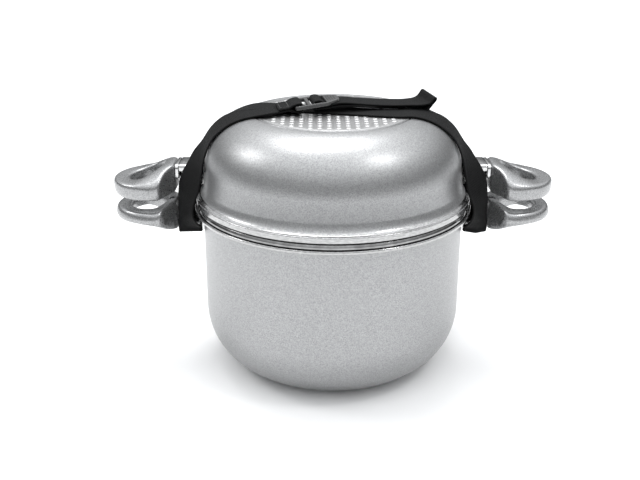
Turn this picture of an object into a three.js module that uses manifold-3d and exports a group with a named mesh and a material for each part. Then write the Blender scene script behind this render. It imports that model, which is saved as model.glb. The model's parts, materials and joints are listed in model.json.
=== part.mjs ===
// A nesting camping cook set: a deep pot, a glass lid, and a shallow pot turned
// over on top of them, held together by one webbing strap with a ladder-lock buckle.
// Millimetres, +Z up, origin at the centre of the deep pot's base, handles along X.

import * as THREE from 'three';
import { mergeVertices } from 'three/addons/utils/BufferGeometryUtils.js';
import Module from 'manifold-3d';

const wasm = await Module();
wasm.setup();

// ---------------------------------------------------------------- driving dimensions

const GAP = 0.3; // between pieces that touch
const RINGS = 40; // facets round every large turned piece
const WALL = 2.5; // pressed aluminium
const FLOOR = 4.5;

const DEEP = {
  name: 'deep_pot',
  height: 146,
  flatRadius: 68.3,
  cornerWide: 45.6,
  cornerTall: 52,
  rimWallRadius: 112.7,
  rimRadius: 120,
  rimThickness: 3,
  flareTall: 0,
  front: -1, // sign of the pot's own Y on the side that faces the front of the set
  neckDepth: 24, // from the rim plane to the side of the neck that faces the base
  loopDepth: 1.6, // from the rim plane to the hand loop's near face
  loopThickness: 10.4,
  rampTo: 34, // distance along the handle where the far face has come down to the loop
  footBelowNeck: 0,
};

const SHALLOW = {
  name: 'shallow_pot',
  height: 72.4,
  flatRadius: 65,
  cornerWide: 45,
  cornerTall: 45,
  rimWallRadius: 112,
  rimRadius: 118.7,
  rimThickness: 4.9,
  flareTall: 3.6,
  front: 1,
  neckDepth: 29.4,
  loopDepth: 2.8,
  loopThickness: 14,
  rampTo: 40,
  footBelowNeck: 3,
};

// The turned-over pot's wall leans out to its rim: out from rimWallRadius, down from the
// underside of the rim.
const FLARE = [[-0.51, 9], [0.05, 7], [1.15, 4.3], [2.6, 2.1], [5.4, 0.3]];

const LID_GAP = 0.5; // under the lid's flange
const LID_SEAT = DEEP.height + LID_GAP;
const LID_FLANGE = 4.4;
const LID_RADIUS = 118.5;
const COVER_SEAT = LID_SEAT + LID_FLANGE + 0.7; // the turned-over pot's rim plane
const TOP = COVER_SEAT + SHALLOW.height;

const DISC = { radius: 64.5, thickness: 1.5, lip: 1.6, groove: 68.3, grooveDepth: 0.8 };

const HANDLE = {
  rootAt: 135, // distance of the root's end face from the pot's axis
  tipAt: 190,
  halfWidth: 35.5,
  rootHalfWidth: 12,
  holeAt: 161,
  holeLong: 14.6,
  holeWide: 17.5,
  rootThickness: 26,
};

const NECK = { from: 115.9, to: 131.5, width: 26, thickness: 7, corner: 2.5, wall: 1 };
const COLLAR = { from: 131.8, to: 134.7, width: 27, tall: 13, corner: 4 };
const TONGUE = { to: 143.5, width: 13, thickness: 2, offset: 0.9 }; // offset towards the rim
const FOOT = { halfWidth: 12.5, thickness: 2, tall: 17 };
const RIVET = { shank: 2, head: 3.4, headTall: 1.5, spread: 7.5, depth: 13.5 };
const SCREW = { at: 140, head: 3.4, headTall: 2.4, shank: 1.7 };

const STRAP_THICKNESS = 1.6;
const STRAP_WIDTH = 25;

const BUCKLE = {
  corner: [-33, -4.5, 84 + DEEP.height], // middle of the end that the strap is sewn to
  yaw: 9.5,
  pitch: 7,
  halfWidth: 15,
  low: -1.2,
  high: 1.8,
  length: 38,
};

// ------------------------------------------------------------------------- materials

const finish = (color, roughness, metalness) =>
  new THREE.MeshStandardMaterial({ color, roughness, metalness });

const LACQUER = finish(0xb9babb, 0.42, 0.85);
const BARE_STEEL = finish(0xd6d7d8, 0.2, 1);
const BASE_STEEL = finish(0xc4c5c6, 0.35, 1);
const HANDLE_PAINT = finish(0xb4b5b6, 0.38, 0.6);
const GLASS = finish(0xdfe8e6, 0.05, 0);
const KNOB_PLASTIC = finish(0x26272a, 0.45, 0);
const SEAL = finish(0x303134, 0.7, 0);
const WEBBING = finish(0x242526, 0.85, 0);
const BUCKLE_PLASTIC = finish(0x1b1c1d, 0.4, 0);

// ---------------------------------------------------------------------- mesh helpers

function solid(geometry) {
  const bare = geometry.index ? geometry.clone() : geometry;
  bare.deleteAttribute('normal');
  bare.deleteAttribute('uv');
  const merged = mergeVertices(bare, 1e-4);
  return new wasm.Manifold(new wasm.Mesh({
    numProp: 3,
    vertProperties: merged.attributes.position.array,
    triVerts: new Uint32Array(merged.index.array),
  }));
}

function geometryOf(manifold) {
  const mesh = manifold.getMesh();
  const geometry = new THREE.BufferGeometry();
  geometry.setAttribute('position', new THREE.BufferAttribute(mesh.vertProperties, 3));
  geometry.setIndex(new THREE.BufferAttribute(mesh.triVerts, 1));
  geometry.computeVertexNormals();
  return geometry;
}

function part(name, geometry, material) {
  const mesh = new THREE.Mesh(geometry, material);
  mesh.name = name;
  return mesh;
}

// A turned piece about Z from [radius, height] points that run up the outside.
function turned(points, segments = RINGS) {
  const outline = points.map(([radius, height]) => new THREE.Vector2(radius, height));
  return new THREE.LatheGeometry(outline, segments).rotateX(Math.PI / 2);
}

// Points of an elliptical arc, angles in degrees, both ends included.
function arc(x, y, radiusX, radiusY, from, to, steps) {
  return Array.from({ length: steps + 1 }, (_, i) => {
    const angle = THREE.MathUtils.degToRad(from + ((to - from) * i) / steps);
    return [x + radiusX * Math.cos(angle), y + radiusY * Math.sin(angle)];
  });
}

function roundedRectangle(width, height, radius) {
  const x = width / 2;
  const y = height / 2;
  const shape = new THREE.Shape();
  shape.moveTo(-x + radius, -y);
  shape.lineTo(x - radius, -y);
  shape.absarc(x - radius, -y + radius, radius, -Math.PI / 2, 0, false);
  shape.lineTo(x, y - radius);
  shape.absarc(x - radius, y - radius, radius, 0, Math.PI / 2, false);
  shape.lineTo(-x + radius, y);
  shape.absarc(-x + radius, y - radius, radius, Math.PI / 2, Math.PI, false);
  shape.lineTo(-x, -y + radius);
  shape.absarc(-x + radius, -y + radius, radius, Math.PI, 1.5 * Math.PI, false);
  return shape;
}

function box(low, high) {
  const size = high.map((value, i) => value - low[i]);
  return new THREE.BoxGeometry(...size)
    .translate(low[0] + size[0] / 2, low[1] + size[1] / 2, low[2] + size[2] / 2);
}

function rod(radius, length, segments = 16) {
  return new THREE.CylinderGeometry(radius, radius, length, segments);
}

// A closed solid from rings of points: the last ring joins the first, or both are capped.
function loft(rings, closed) {
  const around = rings[0].length;
  const positions = rings.flat().flatMap((p) => [p.x, p.y, p.z]);
  const index = [];
  const spans = closed ? rings.length : rings.length - 1;
  for (let i = 0; i < spans; i += 1) {
    const next = (i + 1) % rings.length;
    for (let j = 0; j < around; j += 1) {
      const k = (j + 1) % around;
      const [a, b, c, d] = [i * around + j, next * around + j, next * around + k, i * around + k];
      index.push(a, b, c, a, c, d);
    }
  }
  if (!closed) {
    const end = (rings.length - 1) * around;
    for (let j = 1; j < around - 1; j += 1) {
      index.push(0, j, j + 1, end, end + j + 1, end + j);
    }
  }
  const geometry = new THREE.BufferGeometry();
  geometry.setAttribute('position', new THREE.Float32BufferAttribute(positions, 3));
  geometry.setIndex(index);
  geometry.computeVertexNormals();
  return geometry;
}

// ---------------------------------------------------------------------------- shells

// The outside of a pot from the groove round its base to its rim, base at height 0.
function outerWall(pot) {
  const start = Math.acos((DISC.groove - pot.flatRadius) / pot.cornerWide);
  const corner = arc(
    pot.flatRadius, pot.cornerTall, pot.cornerWide, pot.cornerTall,
    -THREE.MathUtils.radToDeg(start), 0, 7,
  );
  const under = pot.height - pot.rimThickness;
  const flare = pot.flareTall
    ? FLARE.map(([out, down]) => [pot.rimWallRadius + out, under - down])
    : [[pot.rimWallRadius, under - 0.8], [pot.rimWallRadius + 0.8, under]];
  return [...corner, ...flare];
}

function rimOutline(pot) {
  const under = pot.height - pot.rimThickness;
  return [
    [pot.rimRadius - 0.5, under],
    [pot.rimRadius, under + 0.7],
    [pot.rimRadius, pot.height - 0.7],
    [pot.rimRadius - 0.7, pot.height],
    [pot.rimWallRadius - 1.2, pot.height],
    [pot.rimWallRadius - WALL, pot.height - 1.3],
  ];
}

function innerWall(pot) {
  const inset = pot.flareTall ? [[pot.rimWallRadius - WALL, pot.height - 9]] : [];
  const corner = arc(
    pot.flatRadius, pot.cornerTall, pot.cornerWide - WALL, pot.cornerTall - FLOOR, 0, -90, 6,
  );
  return [...inset, ...corner, [0, FLOOR]];
}

function shell(pot) {
  const seat = DISC.radius + GAP;
  const base = [
    [0, DISC.thickness + GAP],
    [seat, DISC.thickness + GAP],
    [seat, 0],
    [seat + DISC.lip, 0],
    [seat + DISC.lip + 0.3, DISC.grooveDepth],
    [DISC.groove - 0.6, DISC.grooveDepth],
  ];
  const outline = [...base, ...outerWall(pot), ...rimOutline(pot), ...innerWall(pot)];
  let body = solid(turned(outline));
  for (const side of [-1, 1]) {
    for (const across of [-1, 1]) {
      body = body.subtract(solid(rivetPlace(rod(RIVET.shank + GAP, 24, 10), pot, side, across)));
    }
  }
  return geometryOf(body);
}

function inductionDisc() {
  const edge = 0.3;
  return turned([
    [0, 0],
    [DISC.radius - edge, 0],
    [DISC.radius, edge],
    [DISC.radius, DISC.thickness],
    [0, DISC.thickness],
  ]);
}

// --------------------------------------------------------------------------- handles

// Height of the neck's middle above the base of an upright pot.
function neckMiddle(pot) {
  return pot.height - pot.neckDepth + NECK.thickness / 2;
}

// Height of the middle of the bracket's tongue, which runs through the neck into the handle.
function tongueMiddle(pot) {
  return neckMiddle(pot) + TONGUE.offset;
}

// Half of the handle's outline seen from above, from the tip round to the root.
function handleOutline() {
  const { tipAt, halfWidth, rootAt, rootHalfWidth } = HANDLE;
  const round = arc(tipAt - halfWidth - 2, 0, halfWidth + 2, halfWidth, 0, 90, 5);
  const waist = [
    [rootAt + 12, halfWidth - 1.6],
    [rootAt + 8.5, halfWidth - 6],
    [rootAt + 6.2, halfWidth - 12.5],
    [rootAt + 3.2, rootHalfWidth + 5],
    [rootAt, rootHalfWidth],
    [rootAt, 0],
  ];
  return [...round, ...waist];
}

// Height of the handle's face on the rim side, at a distance along it.
function nearFace(pot, along) {
  const root = pot.height - pot.neckDepth + HANDLE.rootThickness;
  const loop = pot.height - pot.loopDepth;
  return THREE.MathUtils.lerp(root, loop, THREE.MathUtils.smoothstep(along, 2, 18));
}

// Height of the handle's face on the base side, which is crowned from side to side.
function farFace(pot, along, across) {
  const loop = pot.height - pot.loopDepth - pot.loopThickness;
  const root = pot.height - pot.neckDepth;
  const left = 1 - THREE.MathUtils.smoothstep(along, 3, pot.rampTo);
  const crown = 1 - Math.abs(across / (HANDLE.halfWidth + 0.5)) ** 3;
  return loop + (root - loop) * left * crown;
}

// The hand loop is swept round its finger hole, each section a rounded block that
// spans from the hole's edge to the outline.
function handleRings(pot) {
  const half = handleOutline();
  const back = half.slice(1, -1).reverse().map(([x, y]) => [x, -y]);
  const outline = [...half, ...back];
  const steps = 12;
  const squareness = 2 / 3.4;
  return outline.map(([x, y]) => {
    const angle = Math.atan2(y, x - HANDLE.holeAt);
    const inner = [
      HANDLE.holeAt + HANDLE.holeLong * Math.cos(angle),
      HANDLE.holeWide * Math.sin(angle),
    ];
    return Array.from({ length: steps }, (_, k) => {
      const turn = (2 * Math.PI * (k + 0.5)) / steps;
      const signedPower = (value) => Math.sign(value) * Math.abs(value) ** squareness;
      const outward = 0.5 + 0.5 * signedPower(Math.cos(turn));
      const px = THREE.MathUtils.lerp(inner[0], x, outward);
      const py = THREE.MathUtils.lerp(inner[1], y, outward);
      const near = nearFace(pot, px - HANDLE.rootAt);
      const far = farFace(pot, px - HANDLE.rootAt, py);
      const level = 0.5 + 0.5 * signedPower(Math.sin(turn));
      return new THREE.Vector3(px, py, THREE.MathUtils.lerp(far, near, level));
    });
  });
}

function handle(pot) {
  const middle = tongueMiddle(pot);
  const slotHalf = TONGUE.width / 2 + GAP;
  const slotTall = TONGUE.thickness / 2 + GAP;
  const slot = box(
    [HANDLE.rootAt - 2, -slotHalf, middle - slotTall],
    [TONGUE.to + GAP, slotHalf, middle + slotTall],
  );
  const bore = rod(SCREW.shank + GAP, 40, 10).rotateX(Math.PI / 2)
    .translate(SCREW.at, 0, middle + 20);
  const seat = screwSeat(pot);
  const sink = rod(SCREW.head + GAP, 30, 12).rotateX(Math.PI / 2)
    .translate(SCREW.at, 0, seat - GAP + 15);
  return geometryOf(
    solid(loft(handleRings(pot), true))
      .subtract(solid(slot))
      .subtract(solid(bore))
      .subtract(solid(sink)),
  );
}

function screwSeat(pot) {
  return nearFace(pot, SCREW.at - HANDLE.rootAt) - SCREW.headTall - 1.4;
}

function handleScrew(pot) {
  const seat = screwSeat(pot);
  const end = tongueMiddle(pot) - TONGUE.thickness / 2;
  return turned([
    [0, end],
    [SCREW.shank, end],
    [SCREW.shank, seat],
    [SCREW.head, seat],
    [SCREW.head, seat + SCREW.headTall * 0.5],
    [SCREW.head * 0.7, seat + SCREW.headTall],
    [0, seat + SCREW.headTall],
  ], 12).translate(SCREW.at, 0, 0);
}

// Lays a piece made along Y through the pot's wall at one of a bracket's two rivets.
function rivetPlace(geometry, pot, side, across) {
  const height = pot.height - pot.neckDepth + RIVET.depth;
  const radius = wallRadius(pot, height) * Math.cos(Math.PI / RINGS); // middle of a facet
  const turn = Math.asin((across * RIVET.spread) / radius);
  return geometry
    .rotateZ(-Math.PI / 2)
    .rotateY(Math.atan(wallSlope(pot)))
    .translate(radius, 0, height)
    .rotateZ(side > 0 ? turn : Math.PI - turn);
}

// How much the nearly straight stretch of wall below the rim widens for each unit up.
function wallSlope(pot) {
  const straight = pot.height - pot.rimThickness - pot.flareTall - 0.8 - pot.cornerTall;
  return (pot.rimWallRadius - pot.flatRadius - pot.cornerWide) / straight;
}

// Outer radius of that stretch.
function wallRadius(pot, height) {
  return pot.flatRadius + pot.cornerWide + (height - pot.cornerTall) * wallSlope(pot);
}

function rivet(pot, side, across) {
  const inside = -WALL - GAP;
  const outside = FOOT.thickness + 2 * GAP;
  const outline = [
    [0, inside - RIVET.headTall],
    [RIVET.head, inside],
    [RIVET.shank, inside],
    [RIVET.shank, outside],
    [RIVET.head, outside],
    [RIVET.head * 0.7, outside + RIVET.headTall],
    [0, outside + RIVET.headTall],
  ].map(([radius, height]) => new THREE.Vector2(radius, height));
  return rivetPlace(new THREE.LatheGeometry(outline, 12), pot, side, across);
}

// A pressed plate that follows the wall, with the tongue that carries the handle.
function bracket(pot) {
  const low = pot.height - pot.neckDepth - pot.footBelowNeck;
  const high = pot.height - pot.neckDepth + FOOT.tall;
  const inner = [low - 1, high + 1].map((z) => [wallRadius(pot, z) + GAP, z]);
  const outer = inner.map(([radius, z]) => [radius + FOOT.thickness, z]);
  const ring = solid(turned([inner[0], outer[0], outer[1], inner[1], inner[0]]));
  const plate = ring.intersect(solid(box([60, -FOOT.halfWidth, low], [140, FOOT.halfWidth, high])));
  const middle = tongueMiddle(pot);
  const tongue = solid(box(
    [wallRadius(pot, middle) + 1.2, -TONGUE.width / 2, middle - TONGUE.thickness / 2],
    [TONGUE.to, TONGUE.width / 2, middle + TONGUE.thickness / 2],
  ));
  const hole = rod(SCREW.shank + GAP, 20, 10).rotateX(Math.PI / 2)
    .translate(SCREW.at, 0, middle);
  let body = plate.add(tongue).subtract(solid(hole));
  for (const across of [-1, 1]) {
    body = body.subtract(solid(rivetPlace(rod(RIVET.shank + GAP, 24, 10), pot, 1, across)));
  }
  return geometryOf(body);
}

// Extrudes a YZ outline along X between two distances from the pot's axis.
function alongX(shape, from, to, height) {
  return new THREE.ExtrudeGeometry(shape, {
    depth: to - from, bevelEnabled: false, curveSegments: 2,
  }).rotateX(Math.PI / 2).rotateZ(Math.PI / 2).translate(from, 0, height);
}

function flameGuard(pot) {
  const shape = roundedRectangle(NECK.width, NECK.thickness, NECK.corner);
  const inside = roundedRectangle(
    NECK.width - 2 * NECK.wall, NECK.thickness - 2 * NECK.wall, NECK.corner - NECK.wall,
  );
  shape.holes.push(inside);
  return alongX(shape, NECK.from, NECK.to, neckMiddle(pot));
}

function collar(pot) {
  const middle = pot.height - pot.neckDepth + COLLAR.tall / 2;
  const shape = roundedRectangle(COLLAR.width, COLLAR.tall, COLLAR.corner);
  const plate = solid(alongX(shape, COLLAR.from, COLLAR.to, middle));
  const slotMiddle = tongueMiddle(pot);
  const slot = box(
    [COLLAR.from - 5, -TONGUE.width / 2 - GAP, slotMiddle - TONGUE.thickness / 2 - GAP],
    [COLLAR.to + 5, TONGUE.width / 2 + GAP, slotMiddle + TONGUE.thickness / 2 + GAP],
  );
  return geometryOf(plate.subtract(solid(slot)));
}

// ------------------------------------------------------------------------------ pots

function pot(size) {
  const group = new THREE.Group();
  group.add(part(`${size.name}_shell`, shell(size), LACQUER));
  group.add(part(`${size.name}_induction_disc`, inductionDisc(), BASE_STEEL));
  for (const [word, side] of [['left', -1], ['right', 1]]) {
    const name = (piece) => `${size.name}_${word}_${piece}`;
    const arm = new THREE.Group();
    arm.add(part(name('bracket'), bracket(size), BARE_STEEL));
    arm.add(part(name('flame_guard'), flameGuard(size), BARE_STEEL));
    arm.add(part(name('collar'), collar(size), BARE_STEEL));
    arm.add(part(name('handle'), handle(size), HANDLE_PAINT));
    arm.add(part(name('handle_screw'), handleScrew(size), BARE_STEEL));
    arm.rotation.z = side > 0 ? 0 : Math.PI;
    group.add(arm);
    for (const [end, across] of [['front', size.front], ['rear', -size.front]]) {
      group.add(part(name(`${end}_rivet`), rivet(size, side, across), BARE_STEEL));
    }
  }
  return group;
}

// ------------------------------------------------------------------------------- lid

const GLASS_EDGE = 108.6;
const GLASS_THICKNESS = 3;
const GLASS_SEAT = 1.9; // underside of the glass at its edge, above the lid's flange
const GLASS_RISE = 16;
const KNOB_BORE = 2.8;
const VENT_AT = 62;

// Height of the glass's underside at a radius, an arc of a large sphere.
function glassUnder(radius) {
  const sphere = (GLASS_EDGE ** 2 + GLASS_RISE ** 2) / (2 * GLASS_RISE);
  return GLASS_SEAT + GLASS_RISE - sphere + Math.sqrt(sphere ** 2 - radius ** 2);
}

function lidGlass() {
  const bore = KNOB_BORE + GAP;
  const radii = [0, 0.25, 0.5, 0.75, 1].map((t) => THREE.MathUtils.lerp(bore, GLASS_EDGE, t));
  const under = radii.map((radius) => [radius, glassUnder(radius)]);
  const over = under.map(([radius, z]) => [radius, z + GLASS_THICKNESS]).reverse();
  const dome = solid(turned([...under, ...over, under[0]]));
  const vent = rod(2.6, 20, 12).rotateX(Math.PI / 2).translate(0, VENT_AT, glassUnder(VENT_AT));
  return geometryOf(dome.subtract(solid(vent)));
}

function lidRim() {
  return turned([
    [109.2, -5.5],
    [109.2, 0],
    [LID_RADIUS - 0.8, 0],
    [LID_RADIUS, 0.8],
    [LID_RADIUS, 2],
    [LID_RADIUS - 0.9, LID_FLANGE - 0.7],
    [LID_RADIUS - 1.8, LID_FLANGE],
    [110.4, LID_FLANGE],
    [109.2, 6.4],
    [104.6, 7.3],
    [104.6, 6.4],
    [GLASS_EDGE + GAP, 5.3],
    [GLASS_EDGE + GAP, 1.5],
    [105.2, 1.5],
    [105.2, 0.6],
    [107.9, 0.6],
    [107.9, -5.5],
    [109.2, -5.5],
  ]);
}

function lidWasher(top) {
  return turned([
    [KNOB_BORE + GAP, top + GAP],
    [11, top + GAP - 0.1],
    [11, top + 1.8],
    [KNOB_BORE + GAP, top + 1.8],
    [KNOB_BORE + GAP, top + GAP],
  ], 20);
}

function lidKnob(seat) {
  const boreTop = seat + 12;
  return turned([
    [0, boreTop],
    [KNOB_BORE, boreTop],
    [KNOB_BORE, seat],
    [9.5, seat],
    [8.2, seat + 3],
    [8.6, seat + 8],
    ...arc(7, seat + 16, 11, 6, -50, 90, 6),
    [0, seat + 22],
  ], 24);
}

function lidScrew(under, seat) {
  const shank = KNOB_BORE - GAP;
  return turned([
    [0, under - 2.8],
    [5, under - 2.8],
    [6.4, under - 1.6],
    [6.4, under - GAP],
    [shank, under - GAP],
    [shank, seat + 11.4],
    [0, seat + 11.4],
  ], 14);
}

function ventEyelet() {
  const under = glassUnder(VENT_AT);
  const low = under - 1.6;
  const high = under + GLASS_THICKNESS + 1.6;
  const bore = 1.3;
  return turned([
    [bore, low],
    [4.2, low],
    [4.2, low + 0.6],
    [2.2, low + 0.6],
    [2.2, high - 0.6],
    [4.2, high - 0.6],
    [4.2, high],
    [bore, high],
    [bore, low],
  ], 12).translate(0, VENT_AT, 0);
}

function lid() {
  const group = new THREE.Group();
  const under = glassUnder(KNOB_BORE);
  const top = under + GLASS_THICKNESS;
  const seat = top + 1.8 + GAP;
  group.add(part('lid_glass', lidGlass(), GLASS));
  group.add(part('lid_steel_rim', lidRim(), BARE_STEEL));
  group.add(part('lid_knob_washer', lidWasher(top), SEAL));
  group.add(part('lid_knob', lidKnob(seat), KNOB_PLASTIC));
  group.add(part('lid_knob_screw', lidScrew(under, seat), BARE_STEEL));
  group.add(part('lid_vent_eyelet', ventEyelet(), BARE_STEEL));
  return group;
}

// ----------------------------------------------------------------------------- strap

// The buckle's own frame: a along it, b across it, c out of its face.
function buckleFrame() {
  return new THREE.Matrix4()
    .makeTranslation(...BUCKLE.corner)
    .multiply(new THREE.Matrix4().makeRotationZ(THREE.MathUtils.degToRad(BUCKLE.yaw)))
    .multiply(new THREE.Matrix4().makeRotationY(THREE.MathUtils.degToRad(-BUCKLE.pitch)));
}

// A station of the strap is the pair of points on its two edges.
function atBuckle(a, c) {
  const frame = buckleFrame();
  const edge = (b) => new THREE.Vector3(a, b, c).applyMatrix4(frame);
  return [edge(-STRAP_WIDTH / 2), edge(STRAP_WIDTH / 2)];
}

function onTop(x, y, height, lean = 0) {
  const edge = (b) => new THREE.Vector3(x - lean * b, y + b, DEEP.height + height);
  return [edge(-STRAP_WIDTH / 2), edge(STRAP_WIDTH / 2)];
}

// One leg, from the edge of the top down to the neck, as [x, y, z] of the edge that
// follows the pot and of the edge that swings outward; z is measured from the rim.
const LEG = [
  [[66, -25.2, 79.1], [66, -0.2, 79.1]],
  [[76.6, -25.2, 76.5], [80, -0.2, 77.7]],
  [[88.2, -25.4, 70.8], [92.5, -0.6, 73.6]],
  [[99.8, -25.8, 60.2], [103, -1.6, 65]],
  [[107, -26.8, 45], [112.6, -4.6, 51.5]],
  [[109.6, -29.4, 31], [121, -12.6, 39]],
  [[113, -31.6, 16], [127, -15, 22]],
  [[117.6, -32, 4], [131, -15, 5]],
  [[118.4, -31, -5], [133.2, -15, -7]],
  [[116.4, -23, -15], [134.2, -15.2, -15]],
  [[114.6, -14.9, -21.2], [134.4, -14.8, -21.2]],
  [[114.4, -13.6, -24.4], [134.4, -13.6, -24.4]],
  [[114.4, -10.5, -25.3], [134.4, -10.5, -25.3]],
];

// The front leg down, under the neck, and the rear leg up, on one side of the pot.
function sideStations(side) {
  const place = ([x, y, z], mirror) => new THREE.Vector3(side * x, mirror * y, DEEP.height + z);
  const down = LEG.map((pair) => pair.map((point) => place(point, 1)));
  const up = LEG.map((pair) => pair.map((point) => place(point, -1))).reverse();
  const route = [...down, ...up];
  return side < 0 ? route : route.map(([near, far]) => [far, near]);
}

function strapStations() {
  const roundSewnBar = [
    [-14, 1.1], [-5, 1.4], [-1.6, 2.6], [1.8, 3.1], [4.9, 2.8], [6.2, 0.3],
    [4.9, -2.3], [1.8, -2.6], [-1.6, -2], [-5, -0.9], [-14, -0.9],
  ].map(([a, c]) => atBuckle(a, c));
  const roundToothedBar = [
    [38, -4], [27, -3.6], [20, -3.1], [16.8, -2.3], [15.9, 0.3], [16.6, 2.8], [19.4, 3.4],
    [22.1, 2.6], [23.6, 0.6], [25, -1], [28, -1.4], [38, -1.4],
  ].map(([a, c]) => atBuckle(a, c));
  const tail = [
    onTop(28, 8.5, 84.4, 0.08),
    onTop(47, 10, 83.3, 0.08),
    onTop(64, 11.5, 83.2, 0.12),
  ];
  const hem = [
    [[76, -0.6, 83.4], [70.5, 23.6, 84.8]],
    [[82.8, 0.4, 84.9], [74, 23.7, 87.2]],
    [[85.6, 1, 88], [76.6, 24, 91]],
  ].map((pair) => pair.map(([x, y, z]) => new THREE.Vector3(x, y, DEEP.height + z)));
  const underStrand = [onTop(-52, 12.7, 79.1), onTop(52, -12.7, 79.1)];
  return [
    ...roundSewnBar,
    onTop(-54, -12.7, 81.2),
    ...sideStations(-1),
    ...underStrand.map(([front, rear]) => [rear, front]),
    ...sideStations(1),
    onTop(54, 12.7, 81.2),
    onTop(38, 10, 82, 0.1),
    ...roundToothedBar,
    ...tail,
    ...hem,
  ];
}

// Sweeps the strap's thin rectangle along smooth curves through both edges.
function strapWebbing() {
  const stations = strapStations();
  const curves = [0, 1].map((edge) => new THREE.CatmullRomCurve3(
    stations.map((pair) => pair[edge]), false, 'centripetal',
  ));
  const steps = 2 * (stations.length - 1);
  const pairs = Array.from({ length: steps + 1 }, (_, i) =>
    curves.map((curve) => curve.getPoint(i / steps)));
  const middles = pairs.map(([a, b]) => a.clone().lerp(b, 0.5));
  const rings = pairs.map(([a, b], i) => {
    const along = middles[Math.min(i + 1, steps)].clone().sub(middles[Math.max(i - 1, 0)]);
    const normal = along.cross(b.clone().sub(a)).normalize();
    const offset = normal.multiplyScalar(STRAP_THICKNESS / 2);
    return [
      a.clone().add(offset), b.clone().add(offset), b.clone().sub(offset), a.clone().sub(offset),
    ];
  });
  return loft(rings, false);
}

// ---------------------------------------------------------------------------- buckle

function buckle() {
  const { halfWidth, length } = BUCKLE;
  const frame = new THREE.Shape();
  frame.moveTo(1, -halfWidth);
  frame.lineTo(25, -halfWidth);
  frame.quadraticCurveTo(28, -halfWidth, 29.5, -halfWidth + 2.5);
  frame.quadraticCurveTo(length, -9, length, 0);
  frame.quadraticCurveTo(length, 9, 29.5, halfWidth - 2.5);
  frame.quadraticCurveTo(28, halfWidth, 25, halfWidth);
  frame.lineTo(1, halfWidth);
  frame.quadraticCurveTo(0, halfWidth, 0, halfWidth - 1);
  frame.lineTo(0, -halfWidth + 1);
  frame.quadraticCurveTo(0, -halfWidth, 1, -halfWidth);
  const slots = [[4.2, 10.4], [13.2, 17.6], [20.6, 26.4]];
  const thick = BUCKLE.high - BUCKLE.low;
  let body = solid(new THREE.ExtrudeGeometry(frame, {
    depth: thick, bevelEnabled: false, curveSegments: 4,
  }).translate(0, 0, BUCKLE.low));
  for (const [from, to] of slots) {
    const reach = halfWidth - 1.9;
    body = body.subtract(solid(box([from, -reach, -5], [to, reach, 5])));
  }
  // The strap's free end leaves under the thumb tab, so the tab is hollow below.
  const strapReach = STRAP_WIDTH / 2 + 0.6;
  const underTab = box([24, -strapReach, -3], [length + 1, strapReach, -0.1]);
  return geometryOf(body.subtract(solid(underTab)));
}

// -------------------------------------------------------------------------- assembly

const cookSet = new THREE.Group();

cookSet.add(pot(DEEP));

const lidGroup = lid();
lidGroup.position.z = LID_SEAT;
cookSet.add(lidGroup);

const cover = pot(SHALLOW);
cover.rotation.x = Math.PI;
cover.position.z = TOP;
cookSet.add(cover);

cookSet.add(part('strap_webbing', strapWebbing(), WEBBING));

const buckleMesh = part('strap_buckle', buckle(), BUCKLE_PLASTIC);
buckleMesh.applyMatrix4(buckleFrame());
cookSet.add(buckleMesh);

export default cookSet;
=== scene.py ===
"""Looks of a nesting camping cook set: a deep pot, a glass lid and a shallow pot turned
over on top, held together by a webbing strap with a ladder-lock buckle.

Lengths are millimetres until a mesh is made, and metres for the camera and the lights. +Z is
up, the origin is at the centre of the deep pot's base, and the handles lie along X. Each fine
piece stands for the CAD node it is named after.
"""

import json
import math

import bpy
import bmesh
import numpy as np
from mathutils import Matrix, Vector
from mathutils.geometry import delaunay_2d_cdt


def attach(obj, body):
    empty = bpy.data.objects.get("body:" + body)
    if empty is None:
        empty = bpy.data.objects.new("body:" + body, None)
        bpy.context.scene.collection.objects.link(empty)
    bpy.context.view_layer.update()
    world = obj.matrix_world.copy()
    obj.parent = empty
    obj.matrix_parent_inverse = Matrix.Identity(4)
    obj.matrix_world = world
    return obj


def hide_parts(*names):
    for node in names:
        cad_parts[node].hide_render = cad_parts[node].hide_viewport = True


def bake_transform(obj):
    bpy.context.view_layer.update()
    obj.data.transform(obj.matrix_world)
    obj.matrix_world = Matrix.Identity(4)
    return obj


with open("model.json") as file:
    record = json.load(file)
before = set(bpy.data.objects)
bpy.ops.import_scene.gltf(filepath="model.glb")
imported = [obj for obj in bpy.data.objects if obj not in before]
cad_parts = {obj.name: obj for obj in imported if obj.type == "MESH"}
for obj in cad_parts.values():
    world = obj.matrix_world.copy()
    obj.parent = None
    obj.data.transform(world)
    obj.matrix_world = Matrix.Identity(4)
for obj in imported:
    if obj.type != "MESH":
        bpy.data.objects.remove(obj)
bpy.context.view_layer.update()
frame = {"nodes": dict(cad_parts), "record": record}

# ------------------------------------------------------------------ driving dimensions

MM = 0.001
GAP = 0.3
AROUND = 192
FILLET_STEPS = 5
WALL = 2.5
FLOOR = 4.5

DEEP = {
    "name": "deep_pot", "height": 146, "flat": 68.3, "corner_wide": 45.6, "corner_tall": 52,
    "wall": 112.7, "rim": 120, "rim_thick": 3, "flare": 0, "neck_depth": 24, "loop_depth": 1.6,
    "loop_thick": 10.4, "ramp_to": 34,
}
SHALLOW = {
    "name": "shallow_pot", "height": 72.4, "flat": 65, "corner_wide": 45, "corner_tall": 45,
    "wall": 112, "rim": 118.7, "rim_thick": 4.9, "flare": 3.6, "neck_depth": 29.4,
    "loop_depth": 2.8, "loop_thick": 14, "ramp_to": 40,
}
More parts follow.
